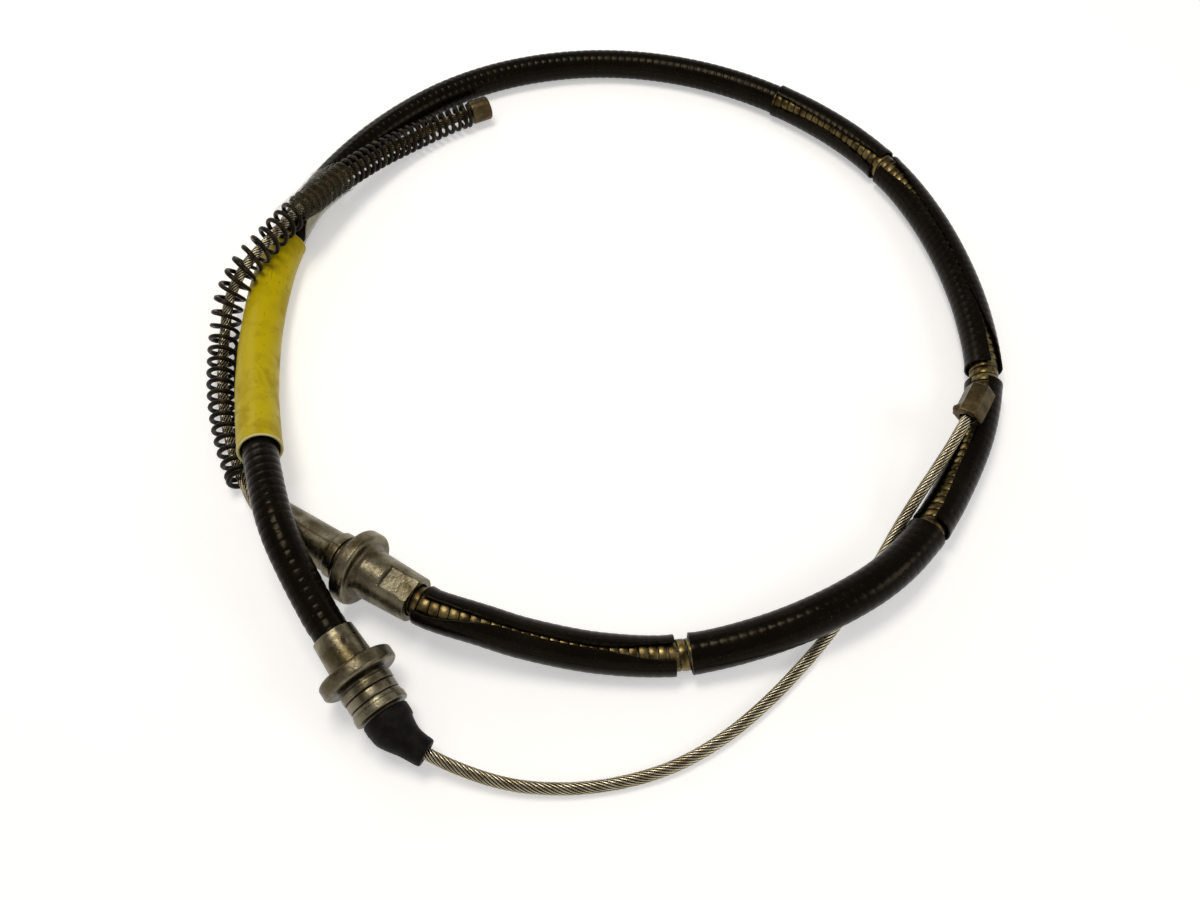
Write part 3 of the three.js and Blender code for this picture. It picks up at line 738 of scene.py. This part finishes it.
def make_cover():
    """The thin cover, drawn tight enough to show the turns of the wire under it"""
    dip, dip_width = 0.1 * MM, 0.42 * MM
    make_tube(
        "cover_skin",
        COVER_START,
        CASING_END - BUTT_GAP,
        lambda s, a: COVER_RADIUS - dip * ridge_dip(s, a, dip_width),
        lambda s, a: np.full(np.broadcast_shapes(s.shape, a.shape), COVER_RADIUS - COVER_WALL),
        0.1 * MM,
        WIRE_PITCH / 9,
        44,
        black_vinyl,
        "black_vinyl",
        "conduit_cover",
    )


def make_tag_sleeve():
    """The loose yellow sleeve, slightly out of round"""
    start = CASING_END - TAG_SETBACK - TAG_LENGTH
    end = start + TAG_LENGTH
    out_of_round = 0.09 * MM
    turn_of_oval = 9
    flare, flare_length = 0.1 * MM, 1.6 * MM

    def swell(s, a):
        slow = wavy(s, 11, (31 * MM, 19 * MM))
        oval = np.cos(2 * a + turn_of_oval * (s - start) / TAG_LENGTH)
        near_end = np.exp(-((np.minimum(s - start, end - s) / flare_length) ** 2))
        return out_of_round * slow * oval + flare * near_end

    make_tube(
        "tag_sleeve_skin",
        start,
        end,
        lambda s, a: TAG_RADIUS + swell(s, a),
        lambda s, a: TAG_RADIUS - TAG_WALL + swell(s, a),
        0.4 * MM,
        0.8 * MM,
        64,
        yellow_vinyl,
        "yellow_vinyl",
        "tag_sleeve",
    )


def make_split_sleeve(index, sleeve, start):
    """A slit tube that follows the turns under it, with edges that part further at its ends"""
    length = sleeve["length"]
    rim = 0.12 * MM
    flare_height, flare_length = 0.12 * MM, 2 * MM
    dip_depth, dip_width = 0.05 * MM, 0.45 * MM
    waver_degrees, waver_lengths = 1.6, (23 * MM, 9 * MM, 5 * MM)
    ends = np.array([0.0, 0.04 * MM, rim, 0.3 * MM])
    middle = np.arange(0.6 * MM, length - 0.6 * MM, WIRE_PITCH / 8)
    along = np.concatenate([ends, middle, (length - ends)[::-1]])[:, None]
    from_end = np.minimum(along, length - along)
    inset = np.maximum(rim - from_end, 0)
    from_mouth = np.clip(from_end / SLIT_MOUTH, 0, 1)
    towards_end = 1 - from_mouth**2 * (3 - 2 * from_mouth)
    waver = waver_degrees * wavy(along, 20 + index, waver_lengths) * (0.4 + towards_end)
    half = np.radians(sleeve["middle"] + (sleeve["ends"] - sleeve["middle"]) * towards_end + waver)
    slit = np.radians(90 - np.interp(along, (0, length / 3, length), sleeve["facing"]))
    flare = flare_height * np.exp(-((from_end / flare_length) ** 2))
    mid = SLEEVE_RADIUS - SLEEVE_WALL / 2 + flare
    thick = SLEEVE_WALL / 2 - inset
    share = np.linspace(0, 1, 45)[None, :]
    inner_share = np.linspace(1, 0, 21)[None, :]
    corner = np.radians([60, 25, -25, -60])[None, :]
    arc = 2 * math.pi - 2 * half
    outer_angle = slit + half + arc * share
    dip = dip_depth * ridge_dip(start + along, outer_angle, dip_width)
    outer_radius = mid + thick - dip
    far_angle = slit + half + arc + thick * np.cos(corner) / mid
    far_radius = mid + thick * np.sin(corner)
    inner_angle = slit + half + arc * inner_share
    inner_radius = np.broadcast_to(mid - thick, inner_angle.shape)
    near_angle = slit + half - thick * np.cos(corner) / mid
    near_radius = mid - thick * np.sin(corner)
    angle = np.concatenate([outer_angle, far_angle, inner_angle, near_angle], 1)
    radius = np.concatenate([outer_radius, far_radius, inner_radius, near_radius], 1)
    places = lay(start + along, radius * np.cos(angle), radius * np.sin(angle))
    faces = grid_faces(len(along), angle.shape[1], caps=True)
    name = f"split_sleeve_{index}"
    new_piece(name + "_skin", places, faces, black_vinyl, "black_vinyl", [name], sharp=55)


def make_split_sleeves():
    start = CASING_START + FIRST_SLEEVE_START
    for index, sleeve in enumerate(SPLIT_SLEEVES, 1):
        make_split_sleeve(index, sleeve, start)
        start += sleeve["length"] + sleeve["gap"]


make_cover()
make_tag_sleeve()
make_split_sleeves()


# The tape

def spring_beside(station):
    """Where the rope in the spring passes the plane across the casing at a station"""
    centre, left, up, along = frames_at(np.array(station))
    candidates = np.arange(0, SPRING_END, 0.2 * MM)
    offsets = frames_at(candidates)[0] - centre
    near = np.linalg.norm(offsets, axis=1) < 3 * SPRING_DIAMETER
    away = np.where(near, np.abs(offsets @ along), np.inf)
    offset = offsets[np.argmin(away)]
    return np.array([offset @ left, offset @ up])


def make_tape():
    """The clear tape: a wrinkled band round the casing and the spring that lies over it"""
    start = CASING_END - TAPE_SETBACK - TAPE_LENGTH + TAPE_SHIFT
    casing_radius = COVER_RADIUS + TAPE_SLACK
    spring_radius = SPRING_DIAMETER / 2 + TAPE_SLACK
    wrinkle_height = 0.22 * MM
    raggedness = 0.9 * MM
    milky_rim, milky_web = 0.4, 0.9
    rows = 70
    arc_points, web_points = 34, 16
    columns = 2 * (arc_points + web_points)
    stations = np.linspace(start, start + TAPE_LENGTH + TAPE_TAIL, rows)
    outline = np.zeros((rows, columns, 2))
    outward = np.zeros((rows, columns, 2))
    for row, station in enumerate(stations):
        offset = spring_beside(station)
        heading = math.atan2(offset[1], offset[0])
        lean = math.acos((casing_radius - spring_radius) / np.linalg.norm(offset))
        casing_arc = heading + np.linspace(lean, 2 * math.pi - lean, arc_points)
        spring_arc = heading + np.linspace(-lean, lean, arc_points)
        casing_side = casing_radius * np.stack([np.cos(casing_arc), np.sin(casing_arc)], -1)
        spring_side = offset + spring_radius * np.stack([np.cos(spring_arc), np.sin(spring_arc)], -1)
        share = np.linspace(0, 1, web_points + 2)[1:-1, None]
        web_out = casing_side[-1] * (1 - share) + spring_side[0] * share
        web_back = spring_side[-1] * (1 - share) + casing_side[0] * share
        outline[row] = np.concatenate([casing_side, web_out, spring_side, web_back])
        web_out_angle = np.full(web_points, casing_arc[-1])
        web_back_angle = np.full(web_points, spring_arc[-1])
        angles = np.concatenate([casing_arc, web_out_angle, spring_arc, web_back_angle])
        outward[row] = np.stack([np.cos(angles), np.sin(angles)], -1)
    flat = lay(stations[:, None], outline[..., 0], outline[..., 1])
    wrinkle = np.zeros((rows, columns))
    for row in range(rows):
        for column in range(columns):
            x, y, z = flat[row, column] * 1000
            long_folds = noise.noise(Vector((x * 0.22, y * 0.22, z * 0.22)))
            creases = abs(noise.noise(Vector((x * 0.55 + 7, y * 0.3, z * 0.55))))
            wrinkle[row, column] = 0.45 * long_folds + 0.9 * creases
    wrinkle = np.maximum(wrinkle, -0.15) * wrinkle_height
    outer, inner = [outline + outward * (wrinkle + lift)[..., None] for lift in (TAPE_WALL, 0.0)]
    ragged = raggedness * wavy(np.arange(columns) / columns, 31, (0.5, 0.2, 0.125))[None, :]
    edge = np.linspace(-1, 1, rows)[:, None]
    station = stations[:, None] + ragged * edge * np.abs(edge)
    places = np.concatenate([
        lay(station, outer[..., 0], outer[..., 1]),
        lay(station[::-1], inner[::-1, :, 0], inner[::-1, :, 1]),
    ])
    rim = milky_rim * (np.abs(edge) > 0.98)
    on_web = np.zeros(columns)
    on_web[arc_points - 3:arc_points + web_points + 3] = milky_web
    mask = np.maximum(np.concatenate([rim, rim]), on_web[None, :])
    faces = grid_faces(2 * rows, columns, wrap_rows=True)
    new_piece("tape_film", places, faces, clear_film, "clear_film", ["tape_wrap"], mask)


make_tape()


# Turned pieces. Their outlines are in millimetres, as pairs: along the axis and away from it.

def rounded(outline, radius, steps=3):
    """An outline with each corner cut round. A corner keeps at most 45% of its shorter side."""
    points = [np.array(p, float) for p in outline]
    smooth = []
    for i, corner in enumerate(points):
        before, after = points[i - 1], points[(i + 1) % len(points)]
        to_before, to_after = before - corner, after - corner
        near, far = np.linalg.norm(to_before), np.linalg.norm(to_after)
        cut = min(radius, 0.45 * near, 0.45 * far)
        start = corner + to_before / near * cut
        end = corner + to_after / far * cut
        for step in range(steps + 1):
            t = step / steps
            smooth.append((1 - t) ** 2 * start + 2 * t * (1 - t) * corner + t**2 * end)
    return np.array(smooth)


def subdivided(outline, spacing):
    """An outline with long sides cut up, so that grain and dents have points to move"""
    points = []
    for i, point in enumerate(outline):
        after = outline[(i + 1) % len(outline)]
        parts = max(1, math.ceil(np.linalg.norm(after - point) / spacing))
        points += [point + (after - point) * k / parts for k in range(parts)]
    return np.array(points)


def turned_grid(outline, columns):
    """Points of an outline turned about +Z, as rows of the outline and columns round it"""
    angle = ring(columns)[None, :]
    along, radius = outline[:, :1], outline[:, 1:]
    return np.stack(np.broadcast_arrays(radius * np.cos(angle), radius * np.sin(angle), along), -1)


def flange_outline(start, length, diameter, corner=0.8):
    radius = diameter / 2
    return [
        (start, radius - corner),
        (start + corner * 0.4, radius - corner * 0.35),
        (start + corner, radius),
        (start + length - corner, radius),
        (start + length - corner * 0.4, radius - corner * 0.35),
        (start + length, radius - corner),
    ]


def corner_shade(grid, outline):
    """A mask that is high in the hollow corners of a turned piece, where the materials paint shade"""
    before = np.roll(outline, 1, axis=0)
    after = np.roll(outline, -1, axis=0)
    first, second = outline - before, after - outline
    turn = first[:, 0] * second[:, 1] - first[:, 1] * second[:, 0]
    scale = np.linalg.norm(first, axis=1) * np.linalg.norm(second, axis=1) + 1e-12
    hollow = np.clip(turn / scale, 0, 1)
    spread = np.maximum(hollow, 0.5 * (np.roll(hollow, 1) + np.roll(hollow, -1)))
    return np.broadcast_to(np.clip(spread * 2.2, 0, 1)[:, None], grid.shape[:2])


def make_lever_fitting():
    """The long nose, collar, flange and barrel, with a recess on top and a fine parting line"""
    seat, bore, nose = SEAT_RADIUS / MM, ROPE_BORE / MM, 5.8
    nose_end, collar_end, flange_start, flange_end = 23.2, 26.0, 28.9, 33.1
    seat_start, barrel_end = 36.0, 50.0
    outline = [
        (0, 5.2), (0.6, nose), (nose_end, nose), (nose_end, 6.5), (collar_end, 6.5), (collar_end, 6.0),
        (flange_start, 6.0), *flange_outline(flange_start, 4.2, 20.6),
        (flange_end, 8.0), (33.6, 7.3), (34.6, 6.78), (barrel_end, 6.2),
        (barrel_end, seat), (seat_start, seat), (seat_start, bore), (0, bore),
    ]
    profile = subdivided(rounded(outline, 0.28), 0.6) * MM
    columns = 128
    grid = turned_grid(profile, columns)
    mask = corner_shade(grid, profile).copy()
    angle = ring(columns)[None, :]
    line_angle, line_width, line_depth, line_shade = math.radians(85), 0.2, 0.02, 0.85
    from_line = np.abs(angle - line_angle) * nose
    before_flange = (profile[:, 1:] > 5.0 * MM) & (profile[:, :1] < 28.8 * MM)
    groove = np.exp(-((from_line / line_width) ** 2)) * before_flange
    # Painted shade in the parting line's groove
    mask = np.maximum(mask, line_shade * groove)
    grid[..., :2] *= (1 - line_depth * groove)[..., None]
    recess_floor, recess_start, recess_half = 5.3 * MM, 41.0 * MM, 3.1 * MM
    in_recess = (
        (np.abs(grid[..., 0]) < recess_half)
        & (grid[..., 1] > recess_floor)
        & (grid[..., 2] > recess_start)
    )
    grid[..., 1] = np.where(in_recess, recess_floor, grid[..., 1])
    # Painted shade at the recess step
    step = in_recess & (grid[..., 2] < recess_start + 0.6 * MM)
    mask = np.maximum(mask, step * 1.0)
    faces = grid_faces(len(profile), columns, wrap_rows=True)
    piece = new_piece(
        "lever_fitting_casting", grid, faces, cast_metal, "cast_metal", ["lever_end_fitting"], mask, sharp=45
    )
    piece.data.transform(set_on_axis(LEVER_NOSE, LEVER_AXIS))


def make_bracket_fitting():
    """The barrel, flange and grooved rings, each ring given by its length and its diameter at both ends"""
    seat, bore, spigot = SEAT_RADIUS / MM, ROPE_BORE / MM, 5.0
    seat_end, flange_start, flange_end, spigot_end = 9.0, 9.9, 14.1, 27.1
    outline = [(0, 5.6), (9.4, 6.05), (flange_start, 6.6), *flange_outline(flange_start, 4.2, 20.4)]
    rings = [
        (0.5, 12.4, 12.4), (1.0, 13.4, 13.4), (2.0, 14.1, 14.1), (0.35, 12.6, 12.6),
        (2.3, 13.7, 13.7), (0.35, 12.8, 12.8), (1.3, 13.5, 14.1), (1.8, 14.4, 14.4),
    ]
    along = flange_end
    for length, near_diameter, far_diameter in rings:
        outline.append((along, near_diameter / 2))
        along += length
        outline.append((along, far_diameter / 2))
    outline += [
        (along, spigot), (spigot_end, spigot), (spigot_end, bore),
        (seat_end, bore), (seat_end, seat), (0, seat),
    ]
    profile = subdivided(rounded(outline, 0.2), 0.5) * MM
    columns = 128
    grid = turned_grid(profile, columns)
    mask = corner_shade(grid, profile).copy()
    outside = profile[:, 1:] > 5.4 * MM
    pit_angle, pit_station, pit_size = math.radians(72), 4.2 * MM, 0.7 * MM
    around_pit = (ring(columns)[None, :] - pit_angle) * profile[:, 1:]
    pit = np.exp(-(around_pit**2 + (profile[:, :1] - pit_station) ** 2) / pit_size**2) * outside
    grid[..., :2] *= (1 - 0.04 * pit)[..., None]
    # Painted shade in the pit
    mask = np.maximum(mask, 0.8 * pit)
    faces = grid_faces(len(profile), columns, wrap_rows=True)
    nodes = ["bracket_end_fitting"]
    piece = new_piece(
        "bracket_fitting_casting", grid, faces, cast_metal, "cast_metal", nodes, mask, sharp=45
    )
    piece.data.transform(set_on_axis(BRACKET_MOUTH, BRACKET_AXIS))


def lay_turned(name, outline, columns, start, material, slot, nodes, sharp=None):
    """A turned piece bent along the route from a station on"""
    angle = ring(columns)[None, :]
    station = start + outline[:, :1]
    places = lay(station, outline[:, 1:] * np.cos(angle), outline[:, 1:] * np.sin(angle))
    faces = grid_faces(len(outline), columns, wrap_rows=True)
    mask = corner_shade(places, outline)
    return new_piece(name, places, faces, material, slot, nodes, mask, sharp)


def make_boot():
    """The rubber boot, drawn over the spigot and narrowing on to the rope"""
    outline = [
        (0.3, 5.7), (0.7, 6.15), (3.0, 6.15), (3.6, 6.0), (5.0, 5.75), (6.5, 5.2), (8.2, 4.6),
        (9.6, 4.15), (10.8, 3.95), (12.4, 3.8), (13.4, 3.75), (14.3, 3.7), (15.0, 3.5),
        (15.0, 2.1), (3.3, 2.7), (3.3, 5.2), (0.3, 5.2),
    ]
    profile = subdivided(rounded(outline, 0.5), 0.6) * MM
    return lay_turned(
        "boot_skin", profile, 72, BOOT_START, black_rubber, "black_rubber", ["rubber_boot"], sharp=60
    )


def make_button():
    """The steel button swaged on the rope at the spring's end"""
    outline = [
        (0, 0.02), (0, 3.4), (0.25, 3.8), (0.7, 4.0), (6.6, 4.0), (7.0, 3.8),
        (7.0, 1.95), (1.1, 1.95), (1.1, 0.02),
    ]
    profile = subdivided(rounded(outline, 0.2), 0.5) * MM
    lay_turned("button_body", profile, 72, 0.0, swaged_steel, "swaged_steel", ["spring_button"], sharp=50)


def make_end_stop():
    """The sleeve swaged six-sided on the rope's free end, with a small lug at its lower end"""
    foot = 2.5
    outline = [(foot, 3.9), (foot + 0.3, 4.3), (12.6, 4.3), (13.0, 3.9), (13.0, 2.1), (foot, 2.1)]
    profile = subdivided(rounded(outline, 0.2), 0.5) * MM
    columns = 96
    angle = ring(columns)[None, :]
    edge_towards = math.radians(105)
    from_flat = (angle - edge_towards) % (math.pi / 3) - math.pi / 6
    corner_radius = 4.3 * MM
    six_sided = corner_radius * math.cos(math.pi / 6) / np.cos(from_flat)
    along, radius = profile[:, :1], profile[:, 1:]
    outside = radius > 3 * MM
    radius = np.where(outside, radius - corner_radius + six_sided, radius)
    lug_angle, lug_along = math.radians(8), (foot + 1.3) * MM
    lug_size, lug_height = 1.3 * MM, 1.2 * MM
    near_lug = ((angle - lug_angle + math.pi) % (2 * math.pi) - math.pi) * corner_radius
    lug = np.exp(-(near_lug**2 + (along - lug_along) ** 2) / lug_size**2)
    radius = radius + lug_height * lug * outside
    places = lay(END_STOP_START + along, radius * np.cos(angle), radius * np.sin(angle))
    faces = grid_faces(len(profile), columns, wrap_rows=True)
    return new_piece(
        "end_stop_body", places, faces, swaged_steel, "swaged_steel", ["end_stop"], sharp=25
    )


make_lever_fitting()
make_bracket_fitting()
make_boot()
make_button()
end_stop = make_end_stop()
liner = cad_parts["liner"]
liner.data.materials.clear()
liner.data.materials.append(nylon)


# The free rope is the cable's one loose end: it leaves the boot and ends in its swaged stop
boot_mouth = frames_at(np.array(BOOT_START + BOOT_LENGTH))[0]
frames_at(free_stations)[0]


# The table, the light and the sky

def make_floor():
    """A pale table that turns up far out, all round. It renders near white where nothing shades it."""
    flat_to, bend, wall_top = 0.9, 0.5, 0.8
    glow_strength = 0.4
    made, tree, shader = start_material("floor", (0.82, 0.82, 0.82), 0.6)
    shader.inputs["Specular IOR Level"].default_value = 0.1
    path = tree.nodes.new("ShaderNodeLightPath")
    seen = add_math(tree, "MAXIMUM", path.outputs["Is Camera Ray"], path.outputs["Is Glossy Ray"])
    seen = add_math(tree, "MAXIMUM", seen, path.outputs["Is Transmission Ray"])
    glow = add_math(tree, "MULTIPLY", seen, glow_strength)
    shader.inputs["Emission Color"].default_value = (1, 1, 1, 1)
    tree.links.new(glow, shader.inputs["Emission Strength"])
    profile = [(0.0, 0.0), (0.5, 0.0), (flat_to, 0.0)]
    for a in np.radians(range(9, 91, 9)):
        profile.append((flat_to + bend * math.sin(a), bend * (1 - math.cos(a))))
    profile.append((flat_to + bend, wall_top))
    columns = 96
    angle = ring(columns)
    places = [(0.0, 0.0, 0.0)]
    for radius, height in profile[1:]:
        places += [(radius * math.cos(a), radius * math.sin(a), height) for a in angle]
    faces = [[0, 1 + c, 1 + (c + 1) % columns] for c in range(columns)]
    faces += [face[::-1] for face in grid_faces(len(profile) - 1, columns, first=1)]
    mesh = bpy.data.meshes.new("floor")
    mesh.from_pydata(places, [], faces)
    mesh.shade_smooth()
    mesh.materials.append(made)
    floor = bpy.data.objects.new("floor", mesh)
    bpy.context.scene.collection.objects.link(floor)


def add_lamp(name, place, size, watts, colour):
    """A square soft lamp that faces the object"""
    data = bpy.data.lights.new(name, "AREA")
    data.shape = "RECTANGLE"
    data.size, data.size_y = size
    data.energy = watts
    data.color = colour
    lamp = bpy.data.objects.new(name, data)
    lamp.location = place
    lamp.rotation_euler = (-Vector(place)).to_track_quat("-Z", "Y").to_euler()
    bpy.context.scene.collection.objects.link(lamp)


def make_light():
    world = bpy.data.worlds.new("studio")
    world.use_nodes = True
    world.node_tree.nodes["Background"].inputs["Color"].default_value = (1.0, 0.98, 0.95, 1)
    world.node_tree.nodes["Background"].inputs["Strength"].default_value = 0.3
    bpy.context.scene.world = world
    add_lamp("key", (-0.15, 0.12, 0.8), (0.35, 0.25), 3.0, (1.0, 0.95, 0.86))
    add_lamp("side", (0.75, -0.2, 0.55), (0.4, 0.3), 1.4, (1.0, 0.97, 0.92))
    add_lamp("back", (-0.5, 0.75, 0.45), (0.5, 0.3), 1.2, (1.0, 0.97, 0.92))


make_floor()
make_light()
bpy.context.scene.view_settings.view_transform = "Standard"
